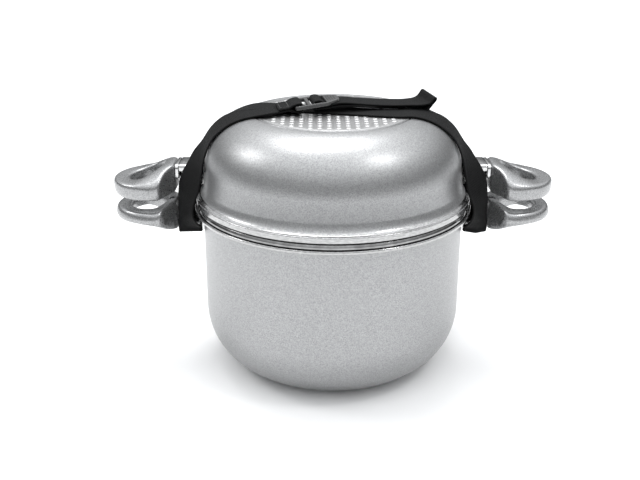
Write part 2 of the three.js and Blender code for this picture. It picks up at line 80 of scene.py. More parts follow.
# Where the turned-over pot's wall leans out to its rim: out from the wall's radius below the
# rim, down from the rim's underside.
FLARE = [
    (-0.51, 9), (-0.3, 8), (0.05, 7), (0.5, 5.8), (1.15, 4.3), (1.85, 3.1), (2.6, 2.1),
    (3.5, 1.3), (4.4, 0.75), (5.4, 0.3),
]
LID_SEAT = 146.5
LID_FLANGE = 4.4
LID_RADIUS = 118.5
COVER_SEAT = 151.6
TOP = COVER_SEAT + SHALLOW["height"]

DISC_RADIUS = 64.5
DISC_THICK = 1.5
DISC_GROOVE = 68.3
DOT_PITCH = 7.5
DOT_RADIUS = 2.1

HANDLE_ROOT = 135
HANDLE_TIP = 190
HANDLE_HALF = 35.5
ROOT_HALF = 12
HOLE_AT = 161
HOLE_LONG = 14.6
HOLE_WIDE = 17.5
ROOT_THICK = 26

NECK_FROM, NECK_TO, NECK_WIDE, NECK_THICK = 115.9, 131.5, 26, 7
COLLAR_FROM, COLLAR_TO, COLLAR_WIDE, COLLAR_TALL = 131.8, 134.7, 27, 13
TONGUE_WIDE, TONGUE_THICK, TONGUE_OFFSET = 13, 2, 0.9
SCREW_AT, SCREW_HEAD, SCREW_TALL = 140, 3.4, 2.4
RIVET_SPREAD, RIVET_DEPTH, RIVET_HEAD, FOOT_THICK = 7.5, 13.5, 3.3, 2

STRAP_WIDE = 25
STRAP_THICK = 1.6
BUCKLE_CORNER = (-33, -4.5, 230)
BUCKLE_YAW = 9.5
BUCKLE_PITCH = 7

CAMERA_AT = (-0.0111, -0.6737, 0.3829)
CAMERA_DOWN = 22.29
CAMERA_LENS = 45.55

# -------------------------------------------------------------------- reading the frame

behaviour = frame["record"]["behaviour"]
BODY_OF = {node: body for body, nodes in behaviour["bodies"].items() for node in nodes}


def stands_for(obj, node):
    """Rides obj on its node's body, in that node's place and finish."""
    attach(obj, BODY_OF[node])
    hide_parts(node)
    return obj


# --------------------------------------------------------------------------- materials


class Finish:
    """A Principled material with helpers for procedural detail in object space, in metres."""

    def __init__(self, name, **sockets):
        self.material = bpy.data.materials.new(name)
        self.material.use_nodes = True
        self.tree = self.material.node_tree
        self.bsdf = self.tree.nodes["Principled BSDF"]
        self.position = self.node("ShaderNodeTexCoord").outputs["Object"]
        for socket, value in sockets.items():
            self.bsdf.inputs[socket.replace("_", " ")].default_value = value

    def node(self, kind, settings=None, **inputs):
        made = self.tree.nodes.new(kind)
        for name, value in (settings or {}).items():
            setattr(made, name, value)
        for name, value in inputs.items():
            self.feed(made.inputs[name.replace("_", " ")], value)
        return made

    def feed(self, socket, value):
        if isinstance(value, bpy.types.NodeSocket):
            self.tree.links.new(value, socket)
        else:
            socket.default_value = value

    def maths(self, operation, *values):
        made = self.tree.nodes.new("ShaderNodeMath")
        made.operation = operation
        for socket, value in zip(made.inputs, values):
            self.feed(socket, value)
        return made.outputs[0]

    def noise(self, size, detail=2.0, where=None):
        """Noise with features of about size millimetres."""
        made = self.node(
            "ShaderNodeTexNoise", Vector=where or self.position,
            Scale=1 / (size * MM), Detail=detail,
        )
        return made.outputs["Fac"]

    def flakes(self, size):
        """A random value for each cell of about size millimetres."""
        made = self.node("ShaderNodeTexVoronoi", Vector=self.position, Scale=1 / (size * MM))
        return self.node("ShaderNodeSeparateColor", Color=made.outputs["Color"]).outputs["Red"]

    def rings(self, size):
        """Fine lines that run round the Z axis, of about size millimetres."""
        split = self.node("ShaderNodeSeparateXYZ", Vector=self.position)
        x, y, z = split.outputs
        radius = self.maths("SQRT", self.maths("ADD", self.maths("MULTIPLY", x, x),
                                               self.maths("MULTIPLY", y, y)))
        angle = self.maths("MULTIPLY", self.maths("ARCTAN2", y, x), 0.02)
        where = self.node("ShaderNodeCombineXYZ", X=radius, Y=angle, Z=z).outputs[0]
        return self.noise(size, 3.0, where)

    def spread(self, value, low, high, start=0.3, end=0.7):
        """Maps value from start..end to low..high."""
        made = self.node("ShaderNodeMapRange", Value=value)
        ends = {"From Min": start, "From Max": end, "To Min": low, "To Max": high}
        for name, number in ends.items():
            made.inputs[name].default_value = number
        return made.outputs[0]

    def tint(self, value, dark, light):
        """Sets the base colour between two greys or colours as value goes from 0 to 1."""
        made = self.node("ShaderNodeMix", {"data_type": "RGBA"})
        self.feed(made.inputs["Factor"], value)
        ends = [c if isinstance(c, tuple) else (c, c, c) for c in (dark, light)]
        made.inputs[6].default_value = (*ends[0], 1)
        made.inputs[7].default_value = (*ends[1], 1)
        self.tree.links.new(made.outputs[2], self.bsdf.inputs["Base Color"])

    def rough(self, value):
        self.feed(self.bsdf.inputs["Roughness"], value)

    def relief(self, height, tall, strength=1.0):
        """Bumps of up to tall millimetres."""
        made = self.node("ShaderNodeBump", Height=height, Distance=tall * MM, Strength=strength)
        self.tree.links.new(made.outputs["Normal"], self.bsdf.inputs["Normal"])


def lacquer():
    finish = Finish("silver_lacquer", Metallic=0.9)
    grain = finish.maths("ADD", finish.maths("MULTIPLY", finish.flakes(0.4), 0.6),
                         finish.maths("MULTIPLY", finish.noise(0.7, 3.0), 0.4))
    finish.tint(finish.spread(grain, 0, 1, 0.2, 0.8), (0.26, 0.262, 0.265), (0.47, 0.473, 0.477))
    finish.rough(finish.spread(finish.noise(0.6, 4.0), 0.34, 0.44))
    finish.relief(grain, 0.03, 0.5)
    return finish.material


def spun_aluminium():
    finish = Finish("spun_aluminium", Metallic=1.0)
    lines = finish.rings(0.9)
    finish.tint(finish.spread(lines, 0, 1), 0.5, 0.66)
    finish.rough(finish.spread(lines, 0.3, 0.45))
    finish.relief(lines, 0.02, 0.6)
    return finish.material


def machined_edge():
    finish = Finish("machined_edge", Metallic=1.0)
    lines = finish.rings(0.5)
    finish.tint(finish.spread(lines, 0, 1), 0.32, 0.56)
    finish.rough(finish.spread(lines, 0.12, 0.22))
    finish.relief(lines, 0.012, 0.6)
    return finish.material


def mirror_steel():
    finish = Finish("mirror_steel", Metallic=1.0)
    wipe = finish.noise(6, 4.0)
    finish.tint(finish.spread(wipe, 0, 1), 0.22, 0.34)
    finish.rough(finish.spread(finish.rings(0.7), 0.05, 0.13))
    return finish.material


def polished_steel():
    finish = Finish("polished_steel", Metallic=1.0)
    wipe = finish.noise(2.5, 5.0)
    finish.tint(finish.spread(wipe, 0, 1), 0.52, 0.7)
    finish.rough(finish.spread(wipe, 0.1, 0.22))
    finish.relief(finish.noise(5, 2.0), 0.05, 0.4)
    return finish.material


def plate_steel():
    finish = Finish("plate_steel", Metallic=1.0)
    lines = finish.rings(0.6)
    finish.tint(finish.spread(lines, 0, 1), 0.5, 0.68)
    finish.rough(finish.spread(lines, 0.3, 0.42))
    finish.relief(lines, 0.015, 0.7)
    return finish.material


def plate_dots():
    finish = Finish("plate_dots", Metallic=0.7)
    pits = finish.noise(0.6, 4.0)
    finish.tint(finish.spread(pits, 0, 1), 0.72, 0.9)
    finish.rough(finish.spread(pits, 0.32, 0.5))
    finish.relief(pits, 0.03, 0.6)
    return finish.material


def handle_paint():
    finish = Finish("handle_paint", Metallic=0.8)
    grain = finish.maths("ADD", finish.maths("MULTIPLY", finish.flakes(0.45), 0.45),
                         finish.maths("MULTIPLY", finish.noise(0.9, 4.0), 0.55))
    finish.tint(finish.spread(grain, 0, 1, 0.2, 0.8), (0.22, 0.222, 0.225), (0.5, 0.502, 0.506))
    finish.rough(finish.spread(finish.noise(1.2, 4.0), 0.24, 0.36))
    finish.relief(grain, 0.03, 0.45)
    return finish.material


def glass():
    finish = Finish("clear_glass", Transmission_Weight=1.0, IOR=1.5)
    smudge = finish.noise(14, 4.0)
    finish.tint(finish.spread(smudge, 0, 1), (0.93, 0.96, 0.95), (0.98, 1.0, 0.99))
    finish.rough(finish.spread(smudge, 0.02, 0.06))
    return finish.material


def moulded(name, dark, light, rough, pit=0.5):
    finish = Finish(name)
    grain = finish.noise(pit, 4.0)
    finish.tint(finish.spread(grain, 0, 1), dark, light)
    finish.rough(finish.spread(finish.noise(3, 3.0), rough, rough + 0.14))
    finish.relief(grain, 0.03, 0.5)
    return finish.material


def webbing():
    """Plain-woven polyester: yarns run along the strap in columns, crossed by weft ribs."""
    finish = Finish(
        "black_webbing", Sheen_Weight=0.03, Sheen_Roughness=0.4, Specular_IOR_Level=0.12,
    )
    split = finish.node("ShaderNodeSeparateXYZ", Vector=finish.node("ShaderNodeUVMap").outputs[0])
    along, across = split.outputs[0], split.outputs[1]
    column = finish.maths("FLOOR", finish.maths("DIVIDE", across, 0.9))
    lift = finish.maths("MULTIPLY", column, math.pi)
    rib = finish.maths("SINE", finish.maths(
        "ADD", finish.maths("MULTIPLY", along, 2 * math.pi / 1.7), lift))
    yarn = finish.maths("ABSOLUTE", finish.maths(
        "SINE", finish.maths("MULTIPLY", across, math.pi / 0.9)))
    weave = finish.maths("MULTIPLY", finish.maths("MULTIPLY_ADD", rib, 0.35, 0.65), yarn)
    fuzz = finish.noise(0.35, 3.0)
    height = finish.maths("MULTIPLY_ADD", fuzz, 0.3, weave)
    # Colour follows the weave's height: painted shade makes the grooves between yarns and under the
    # weft ribs darker, and the fuzz adds random tone.
    finish.tint(finish.spread(height, 0, 1, 0.1, 1.2), (0.002, 0.0021, 0.0022),
                (0.012, 0.0123, 0.0127))
    finish.rough(finish.spread(fuzz, 0.62, 0.85))
    finish.relief(height, 0.28, 0.9)
    return finish.material


def thread():
    finish = Finish("stitch_thread", Sheen_Weight=0.3)
    twist = finish.noise(0.3, 3.0)
    finish.tint(finish.spread(twist, 0, 1), 0.006, 0.03)
    finish.rough(finish.spread(twist, 0.55, 0.8))
    finish.relief(twist, 0.05, 0.8)
    return finish.material


LACQUER = lacquer()
SPUN = spun_aluminium()
EDGE = machined_edge()
MIRROR = mirror_steel()
POLISHED = polished_steel()
PLATE = plate_steel()
DOTS = plate_dots()
PAINT = handle_paint()
GLASS = glass()
KNOB = moulded("knob_plastic", 0.012, 0.03, 0.34)
SEAL = moulded("seal_rubber", 0.015, 0.035, 0.6)
BUCKLE = moulded("buckle_plastic", 0.05, 0.08, 0.26, 0.35)
WEBBING = webbing()
THREAD = thread()

# ------------------------------------------------------------------------ mesh helpers


def mesh_piece(name, points, faces, materials, zones=None, crease=38):
    """A smooth-shaded object from points in millimetres."""
    mesh = bpy.data.meshes.new(name)
    mesh.from_pydata([tuple(value * MM for value in point) for point in points], [], faces)
    for material in materials:
        mesh.materials.append(material)
    if zones is not None:
        mesh.polygons.foreach_set("material_index", zones)
    tidy = bmesh.new()
    tidy.from_mesh(mesh)
    bmesh.ops.recalc_face_normals(tidy, faces=tidy.faces)
    tidy.to_mesh(mesh)
    tidy.free()
    shade(mesh, crease)
    obj = bpy.data.objects.new(name, mesh)
    bpy.context.scene.collection.objects.link(obj)
    return obj


def shade(mesh, crease):
    mesh.shade_smooth()
    mesh.set_sharp_from_angle(angle=math.radians(crease))


def bake(obj, crease=38):
    """Applies obj's modifiers to its mesh."""
    graph = bpy.context.evaluated_depsgraph_get()
    graph.update()
    mesh = bpy.data.meshes.new_from_object(obj.evaluated_get(graph))
    obj.modifiers.clear()
    obj.data = mesh
    shade(mesh, crease)
    return obj


def cut(obj, cutter):
    """Cuts cutter's shape out of obj and removes cutter."""
    boolean = obj.modifiers.new("cut", "BOOLEAN")
    boolean.operation = "DIFFERENCE"
    boolean.solver = "EXACT"
    boolean.object = cutter
    bake(obj)
    bpy.data.objects.remove(cutter)
    return obj


def arc(x, y, radius_x, radius_y, start, end, steps):
    angles = np.radians(np.linspace(start, end, steps + 1))
    return [(x + radius_x * math.cos(a), y + radius_y * math.sin(a)) for a in angles]


def rounded(corners, closed=False):
    """Draws (x, y) and (x, y, radius) corners as a line, each radius as a small arc."""
    points = []
    for i, corner in enumerate(corners):
        here = Vector(corner[:2])
        at_end = not closed and i in (0, len(corners) - 1)
        if len(corner) < 3 or at_end:
            points.append(tuple(here))
            continue
        before = Vector(corners[i - 1][:2]) - here
        after = Vector(corners[(i + 1) % len(corners)][:2]) - here
        reach = corner[2] / math.tan(before.angle(after) / 2)
        reach = min(reach, 0.48 * before.length, 0.48 * after.length)
        first = here + before.normalized() * reach
        last = here + after.normalized() * reach
        for t in np.linspace(0, 1, FILLET_STEPS + 1):
            bend = first * (1 - t) ** 2 + here * (2 * t * (1 - t)) + last * t ** 2
            points.append(tuple(bend))
    return points


def turned(name, outline, materials, zone=None, segments=AROUND, closed=False):
    """A piece turned about Z from an outline of (radius, height) points.

    zone gives the material's index for the radius and height of a stretch of the outline.
    """
    points, rows = [], []
    for radius, height in outline:
        start = len(points)
        if radius < 1e-6:
            points.append((0, 0, height))
            rows.append([start] * segments)
            continue
        for j in range(segments):
            angle = 2 * math.pi * j / segments
            points.append((radius * math.cos(angle), radius * math.sin(angle), height))
        rows.append([start + j for j in range(segments)])
    faces, zones = [], []
    spans = len(rows) if closed else len(rows) - 1
    for i in range(spans):
        low, high = rows[i], rows[(i + 1) % len(rows)]
        here, there = outline[i], outline[(i + 1) % len(rows)]
        index = zone((here[0] + there[0]) / 2, (here[1] + there[1]) / 2) if zone else 0
        for j in range(segments):
            k = (j + 1) % segments
            corners = list(dict.fromkeys([low[j], low[k], high[k], high[j]]))
            if len(corners) > 2:
                faces.append(corners)
                zones.append(index)
    return mesh_piece(name, points, faces, materials, zones)


def loft(name, rings, materials, closed, crease=38):
    """A piece through rings of equal point counts; closed joins the last to the first."""
    around = len(rings[0])
    points = [point for ring in rings for point in ring]
    faces = []
    for i in range(len(rings) if closed else len(rings) - 1):
        here, there = i * around, ((i + 1) % len(rings)) * around
        for j in range(around):
            k = (j + 1) % around
            faces.append((here + j, there + j, there + k, here + k))
    if not closed:
        faces.append(tuple(range(around)))
        faces.append(tuple(range(len(points) - around, len(points))))
    return mesh_piece(name, points, faces, materials, crease=crease)


def rod(name, radius, low, high, segments=48):
    """An upright cylinder for cutting holes."""
    return turned(name, [(0, low), (radius, low), (radius, high), (0, high)], [], None, segments)


def place(obj, *steps):
    """Applies matrices to obj's mesh, the first one first; their lengths are millimetres."""
    for step in steps:
        scaled = step.copy()
        scaled.translation = step.translation * MM
        obj.data.transform(scaled)
    return obj


def turn(degrees, axis):
    return Matrix.Rotation(math.radians(degrees), 4, axis)


def shift(x, y, z):
    return Matrix.Translation((x, y, z))


TURNED_OVER = shift(0, 0, TOP) @ turn(180, "X")


def pot_place(pot):
    return TURNED_OVER if pot is SHALLOW else Matrix.Identity(4)


# ------------------------------------------------------------------------------ shells


def shell_outline(pot):
    seat = DISC_RADIUS + GAP
    start = math.degrees(math.acos((DISC_GROOVE - pot["flat"]) / pot["corner_wide"]))
    under = pot["height"] - pot["rim_thick"]
    inner = pot["wall"] - WALL
    base = [
        (0, DISC_THICK + GAP), (seat, DISC_THICK + GAP), (seat, 0, 0.3), (seat + 1.6, 0, 0.4),
        (seat + 2, 0.8, 0.3), (DISC_GROOVE - 0.6, 0.8, 0.3),
    ]
    corner = arc(pot["flat"], pot["corner_tall"], pot["corner_wide"], pot["corner_tall"],
                 -start, 0, 32)
    if pot["flare"]:
        flare = [(pot["wall"] + out, under - down) for out, down in FLARE]
    else:
        flare = [(pot["wall"], under - 0.8, 0.6), (pot["wall"] + 0.8, under, 0.4)]
    rim = [
        (pot["rim"], under, 1.1), (pot["rim"], pot["height"], 1.1),
        (pot["wall"] - 1.2, pot["height"], 1.2), (inner, pot["height"] - 1.6, 1.0),
    ]
    inset = [(inner, pot["height"] - 9)] if pot["flare"] else []
    inside = arc(pot["flat"], pot["corner_tall"], pot["corner_wide"] - WALL,
                 pot["corner_tall"] - FLOOR, 0, -90, 24)
    return rounded([*base, *corner, *flare, *rim, *inset, *inside, (0, FLOOR)])


def shell(pot):
    under = pot["height"] - pot["rim_thick"]
    bare_from = under - 0.55 * pot["flare"]

    def zone(radius, height):
        """Bare machined metal at the rim, spun metal inside, lacquer outside."""
        if radius > pot["wall"] - 1.3 and height > bare_from:
            return 1
        if height > under and radius > pot["wall"] - WALL - 0.5:
            return 1
        corner = max(0.0, 1 - max(0.0, radius - pot["flat"]) ** 2 / pot["corner_wide"] ** 2)
        outside = pot["corner_tall"] * (1 - math.sqrt(corner))
        inside = height > outside + WALL / 2 and radius < pot["wall"] - 0.7 * WALL
        return 2 if inside else 0

    name = pot["name"] + "_shell"
    piece = turned("fine_" + name, shell_outline(pot), [LACQUER, EDGE, SPUN], zone)
    return stands_for(place(piece, pot_place(pot)), name)


def dot_centres():
    reach = int(DISC_RADIUS / DOT_PITCH) + 1
    grid = [DOT_PITCH * (i + 0.5) for i in range(-reach - 1, reach + 1)]
    return [(x, y) for x in grid for y in grid if math.hypot(x, y) < DISC_RADIUS - 4]


def induction_disc(pot):
    """A steel plate pressed into the base, with aluminium showing through its holes."""
    edge = [(DISC_RADIUS - 0.4) * Vector((math.cos(a), math.sin(a)))
            for a in np.linspace(0, 2 * math.pi, AROUND, endpoint=False)]
    dots = [[Vector((x, y)) + DOT_RADIUS * Vector((math.cos(a), math.sin(a)))
             for a in np.linspace(0, 2 * math.pi, 16, endpoint=False)] for x, y in dot_centres()]
    flat, segments = [], []
    for loop in [edge, *dots]:
        start = len(flat)
        flat.extend(loop)
        segments.extend((start + i, start + (i + 1) % len(loop)) for i in range(len(loop)))
    net = delaunay_2d_cdt(flat, segments, [], 0, 1e-5)
    points = [(p.x, p.y, 0) for p in net[0]]
    centres = np.array(dot_centres())
    faces, zones = [], []
    for triangle in net[2]:
        middle = np.mean([points[i][:2] for i in triangle], axis=0)
        if np.hypot(*(centres - middle).T).min() > DOT_RADIUS * 0.93:
            faces.append(tuple(triangle))
            zones.append(0)

    def ring(centre, radius, height, count):
        start = len(points)
        for a in np.linspace(0, 2 * math.pi, count, endpoint=False):
            x = centre[0] + radius * math.cos(a)
            y = centre[1] + radius * math.sin(a)
            points.append((x, y, height))
        return [start + i for i in range(count)]

    def bridge(low, high, index):
        for i in range(len(low)):
            k = (i + 1) % len(low)
            faces.append((low[i], low[k], high[k], high[i]))
            zones.append(index)

    def cap(loop, centre, height, index):
        points.append((*centre, height))
        for i in range(len(loop)):
            faces.append((loop[i], loop[(i + 1) % len(loop)], len(points) - 1))
            zones.append(index)

    for centre in dot_centres():
        mouth = ring(centre, DOT_RADIUS, 0, 16)
        groove = ring(centre, DOT_RADIUS - 0.15, 0.12, 16)
        foot = ring(centre, DOT_RADIUS - 0.35, 0.02, 16)
        dome = ring(centre, DOT_RADIUS * 0.5, -0.16, 16)
        bridge(mouth, groove, 0)
        bridge(groove, foot, 1)
        bridge(foot, dome, 1)
        cap(dome, centre, -0.2, 1)
    origin = (0, 0)
    face_edge = ring(origin, DISC_RADIUS - 0.4, 0, AROUND)
    bevel = ring(origin, DISC_RADIUS - 0.1, 0.12, AROUND)
    side = ring(origin, DISC_RADIUS, 0.4, AROUND)
    back = ring(origin, DISC_RADIUS, DISC_THICK, AROUND)
    bridge(face_edge, bevel, 0)
    bridge(bevel, side, 0)
    bridge(side, back, 0)
    cap(back, origin, DISC_THICK, 0)

    name = pot["name"] + "_induction_disc"
    piece = mesh_piece("fine_" + name, points, faces, [PLATE, DOTS], zones, 30)
    weld(piece)
    return stands_for(place(piece, pot_place(pot)), name)


def weld(obj):
    """Joins points that lie on each other."""
    work = bmesh.new()
    work.from_mesh(obj.data)
    bmesh.ops.remove_doubles(work, verts=work.verts, dist=1e-7)
    bmesh.ops.recalc_face_normals(work, faces=work.faces)
    work.to_mesh(obj.data)
    work.free()
    shade(obj.data, 30)


# ----------------------------------------------------------------------------- handles


def smoothstep(value, low, high):
    t = min(1.0, max(0.0, (value - low) / (high - low)))
    return t * t * (3 - 2 * t)


def catmull_rom(stations, steps, closed=False):
    """Points on a centripetal Catmull-Rom curve, steps for each span."""
    stations = [Vector(s) for s in stations]
    if closed:
        padded = [stations[-1], *stations, stations[0], stations[1]]
    else:
        padded = [2 * stations[0] - stations[1], *stations, 2 * stations[-1] - stations[-2]]
    points = []
    for a, b, c, d in zip(padded, padded[1:], padded[2:], padded[3:]):
        k1 = max(1e-4, (b - a).length) ** 0.5
        k2 = k1 + max(1e-4, (c - b).length) ** 0.5
        k3 = k2 + max(1e-4, (d - c).length) ** 0.5
        for step in range(steps):
            t = k1 + (k2 - k1) * step / steps
            ab = a.lerp(b, t / k1)
            bc = b.lerp(c, (t - k1) / (k2 - k1))
            cd = c.lerp(d, (t - k2) / (k3 - k2))
            abc = ab.lerp(bc, t / k2)
            bcd = bc.lerp(cd, (t - k1) / (k3 - k1))
            points.append(abc.lerp(bcd, (t - k1) / (k2 - k1)))
    if not closed:
        points.append(stations[-1])
    return points


def handle_outline():
    half = [
        *arc(HANDLE_TIP - HANDLE_HALF - 2, 0, HANDLE_HALF + 2, HANDLE_HALF, 0, 90, 6),
        (HANDLE_ROOT + 12, HANDLE_HALF - 1.2),
        (HANDLE_ROOT + 9.6, HANDLE_HALF - 4),
        (HANDLE_ROOT + 7.2, HANDLE_HALF - 10.5),
        (HANDLE_ROOT + 4.6, ROOT_HALF + 7.5),
        (HANDLE_ROOT + 1.8, ROOT_HALF + 3),
        (HANDLE_ROOT + 0.2, ROOT_HALF + 0.3),
        (HANDLE_ROOT, ROOT_HALF - 2),
    ]
    back = [(x, -y) for x, y in half[:0:-1]]
    return half + [(HANDLE_ROOT, 0)] + back


def near_face(pot, along):
    """Height of the handle's face towards the rim, along from the root's end."""
    root = pot["height"] - pot["neck_depth"] + ROOT_THICK
    loop = pot["height"] - pot["loop_depth"]
    return root + (loop - root) * smoothstep(along, 2, 18)


def far_face(pot, along, across):
    """Height of the handle's face towards the base, crowned across the handle at the root."""
    loop = pot["height"] - pot["loop_depth"] - pot["loop_thick"]
    root = pot["height"] - pot["neck_depth"]
    left = 1 - smoothstep(along, 3, pot["ramp_to"])
    crown = max(0.0, 1 - abs(across / (HANDLE_HALF + 0.5)) ** 3)
    return loop + (root - loop) * left * crown


# A section of the hand loop: the share of the way from the finger hole to the outside,
# the face it is measured from, and the depth below that face.
SECTION = [
    (0.0, "near", 4.2), (0.0, "near", 2.8), (0.015, "near", 1.9), (0.04, "near", 1.6),
    (0.14, "near", 1.5), (0.165, "near", 1.3), (0.18, "near", 0.4), (0.205, "near", 0.05),
    (0.3, "near", 0.0), (0.68, "near", 0.0), (0.81, "near", 0.35), (0.88, "near", 1.1),
    (0.935, "near", 2.3), (0.972, "near", 3.9), (0.993, "near", 5.8),
    (1.0, "far", 4.2), (0.99, "far", 2.9), (0.965, "far", 1.7), (0.925, "far", 0.8),
    (0.87, "far", 0.25), (0.78, "far", 0.0), (0.55, "far", 0.0), (0.2, "far", 0.05),
    (0.1, "far", 0.3), (0.04, "far", 0.9), (0.01, "far", 2.0), (0.0, "far", 3.6),
]


def handle(pot, word, side):
    rings = []
    outline = [Vector((*point, 0)) for point in handle_outline()]
    for point in catmull_rom(outline, 4, closed=True):
        angle = math.atan2(point.y, point.x - HOLE_AT)
        hole = Vector((HOLE_AT + HOLE_LONG * math.cos(angle), HOLE_WIDE * math.sin(angle), 0))
        ring = []
        for share, face, depth in SECTION:
            here = hole.lerp(point, share)
            along = here.x - HANDLE_ROOT
            if face == "near":
                height = near_face(pot, along) - depth
            else:
                height = far_face(pot, along, here.y) + depth
            ring.append((here.x, here.y, height))
        rings.append(ring)
    name = f"{pot['name']}_{word}_handle"
    piece = loft("fine_" + name, rings, [PAINT], closed=True, crease=60)
    smooth = piece.modifiers.new("smooth", "SUBSURF")
    smooth.levels = smooth.render_levels = 1
    bake(piece, 60)
    seat = screw_seat(pot)
    cut(piece, place(rod("sink", SCREW_HEAD + GAP, seat - GAP, seat + 30), shift(SCREW_AT, 0, 0)))
    return stands_for(place(piece, arm_turn(side), pot_place(pot)), name)


def arm_turn(side):
    """Handles are made on the +X side and turned about the pot's axis for the other one."""
    return Matrix.Identity(4) if side > 0 else turn(180, "Z")


def screw_seat(pot):
    """Height of the face that the handle screw's head sits on."""
    return near_face(pot, SCREW_AT - HANDLE_ROOT) - SCREW_TALL - 1.4


def handle_screw(pot, word, side):
    seat = screw_seat(pot)
    top = seat + SCREW_TALL
    end = tongue_middle(pot) - TONGUE_THICK / 2
    outline = rounded([
        (0, end), (1.7, end, 0.4), (1.7, seat, 0.2), (SCREW_HEAD, seat, 0.2),
        (SCREW_HEAD, seat + 1.2, 0.6), (SCREW_HEAD * 0.72, top, 0.5), (1.5, top, 0.15),
        (1.35, top - 1.3, 0.1), (0, top - 1.5),
    ])
    name = f"{pot['name']}_{word}_handle_screw"
    piece = turned("fine_" + name, outline, [POLISHED], segments=48)
    return stands_for(place(piece, shift(SCREW_AT, 0, 0), arm_turn(side), pot_place(pot)), name)


def rounded_rectangle(x, width, height, radius, centre, inset, steps=7):
    """Points of a rounded rectangle in the YZ plane at x."""
    half_y, half_z = width / 2 - inset, height / 2 - inset
    radius = max(0.2, radius - inset)
    points = []
    for quarter, (sy, sz) in enumerate([(1, 1), (-1, 1), (-1, -1), (1, -1)]):
        corner = arc(sy * (half_y - radius), sz * (half_z - radius), radius, radius,
                     90 * quarter, 90 * quarter + 90, steps)
        points.extend((x, y, centre + z) for y, z in corner)
    return points


def neck_middle(pot):
    return pot["height"] - pot["neck_depth"] + NECK_THICK / 2


def tongue_middle(pot):
    return neck_middle(pot) + TONGUE_OFFSET


def flame_guard(pot, word, side):
    stops = [
        (NECK_FROM, 0.3), (NECK_FROM + 0.1, 0.1), (NECK_FROM + 0.35, 0), (NECK_FROM + 4, 0),
        (NECK_TO - 4, 0), (NECK_TO - 0.35, 0), (NECK_TO - 0.1, 0.1), (NECK_TO, 0.3),
        (NECK_TO, 0.8), (NECK_TO - 0.2, 1), (NECK_FROM + 0.2, 1), (NECK_FROM, 0.8),
    ]
    rings = [rounded_rectangle(x, NECK_WIDE, NECK_THICK, 2.5, neck_middle(pot), inset)
             for x, inset in stops]
    name = f"{pot['name']}_{word}_flame_guard"
    piece = loft("fine_" + name, rings, [POLISHED], closed=True)
    return stands_for(place(piece, arm_turn(side), pot_place(pot)), name)


def collar(pot, word, side):
    middle = pot["height"] - pot["neck_depth"] + COLLAR_TALL / 2
    outer = [(COLLAR_FROM, 0.5), (COLLAR_FROM + 0.15, 0.15), (COLLAR_FROM + 0.5, 0),
             (COLLAR_TO - 0.5, 0), (COLLAR_TO - 0.15, 0.15), (COLLAR_TO, 0.5)]
    rings = [rounded_rectangle(x, COLLAR_WIDE, COLLAR_TALL, 4, middle, inset)
             for x, inset in outer]
    for x in (COLLAR_TO, COLLAR_FROM):
        rings.append(rounded_rectangle(x, TONGUE_WIDE + 2 * GAP, TONGUE_THICK + 2 * GAP, 0.6,
                                       tongue_middle(pot), 0))
    name = f"{pot['name']}_{word}_collar"
    piece = loft("fine_" + name, rings, [POLISHED], closed=True)
    return stands_for(place(piece, arm_turn(side), pot_place(pot)), name)


def rivet(pot, word, side, end, across):
    straight = pot["height"] - pot["rim_thick"] - pot["flare"] - 0.8 - pot["corner_tall"]
    slope = (pot["wall"] - pot["flat"] - pot["corner_wide"]) / straight
    height = pot["height"] - pot["neck_depth"] + RIVET_DEPTH
    radius = pot["flat"] + pot["corner_wide"] + (height - pot["corner_tall"]) * slope
    inside, outside = -WALL - GAP, FOOT_THICK + 1.5 * GAP
    outline = rounded([
        (0, inside - 1.5), (1.8, inside - 1.4, 1), (RIVET_HEAD, inside - 0.3, 0.4),
        (RIVET_HEAD, inside, 0.1), (2, inside), (2, outside), (RIVET_HEAD, outside, 0.1),
        (RIVET_HEAD, outside + 0.3, 0.4), (1.8, outside + 1.4, 1), (0, outside + 1.5),
    ])
    name = f"{pot['name']}_{word}_{end}_rivet"
    piece = turned("fine_" + name, outline, [POLISHED], segments=40)
    swing = math.degrees(math.asin(across * RIVET_SPREAD / radius))
    place(
        piece, turn(90, "Y"), turn(-math.degrees(math.atan(slope)), "Y"),
        shift(radius, 0, height), turn(swing if side > 0 else 180 - swing, "Z"), pot_place(pot),
    )
    return stands_for(piece, name)


def bracket(pot, word):
    """The pressed bracket keeps its CAD shape, with its edges eased."""
    node = frame["nodes"][f"{pot['name']}_{word}_bracket"]
    node.data.materials.clear()
    node.data.materials.append(POLISHED)
    ease = node.modifiers.new("ease", "BEVEL")
    ease.width = 0.35 * MM
    ease.segments = 2
    ease.limit_method = "ANGLE"
    ease.angle_limit = math.radians(50)


def pot_pieces(pot):
    shell(pot)
    induction_disc(pot)
    front = 1 if pot is SHALLOW else -1
    for word, side in (("left", -1), ("right", 1)):
        handle(pot, word, side)
        handle_screw(pot, word, side)
        flame_guard(pot, word, side)
        collar(pot, word, side)
        bracket(pot, word)
        rivet(pot, word, side, "front", front)
        rivet(pot, word, side, "rear", -front)


# --------------------------------------------------------------------------------- lid

GLASS_EDGE = 108.6
GLASS_THICK = 3
GLASS_SEAT = 1.9
GLASS_RISE = 16
KNOB_BORE = 2.8
VENT_AT = 62


def glass_under(radius):
    """Height of the glass dome's underside at a radius."""
    sphere = (GLASS_EDGE ** 2 + GLASS_RISE ** 2) / (2 * GLASS_RISE)
    return GLASS_SEAT + GLASS_RISE - sphere + math.sqrt(sphere ** 2 - radius ** 2)


def lid_glass():
    bore = KNOB_BORE + GAP
    under = [(radius, glass_under(radius)) for radius in np.linspace(bore, GLASS_EDGE, 28)]
    over = [(radius, height + GLASS_THICK) for radius, height in reversed(under)]
    piece = turned("fine_lid_glass", [*under, *over], [GLASS], closed=True)
    middle = glass_under(VENT_AT)
    cut(piece, place(rod("vent", 2.6, middle - 8, middle + 8), shift(0, VENT_AT, 0)))
    return piece


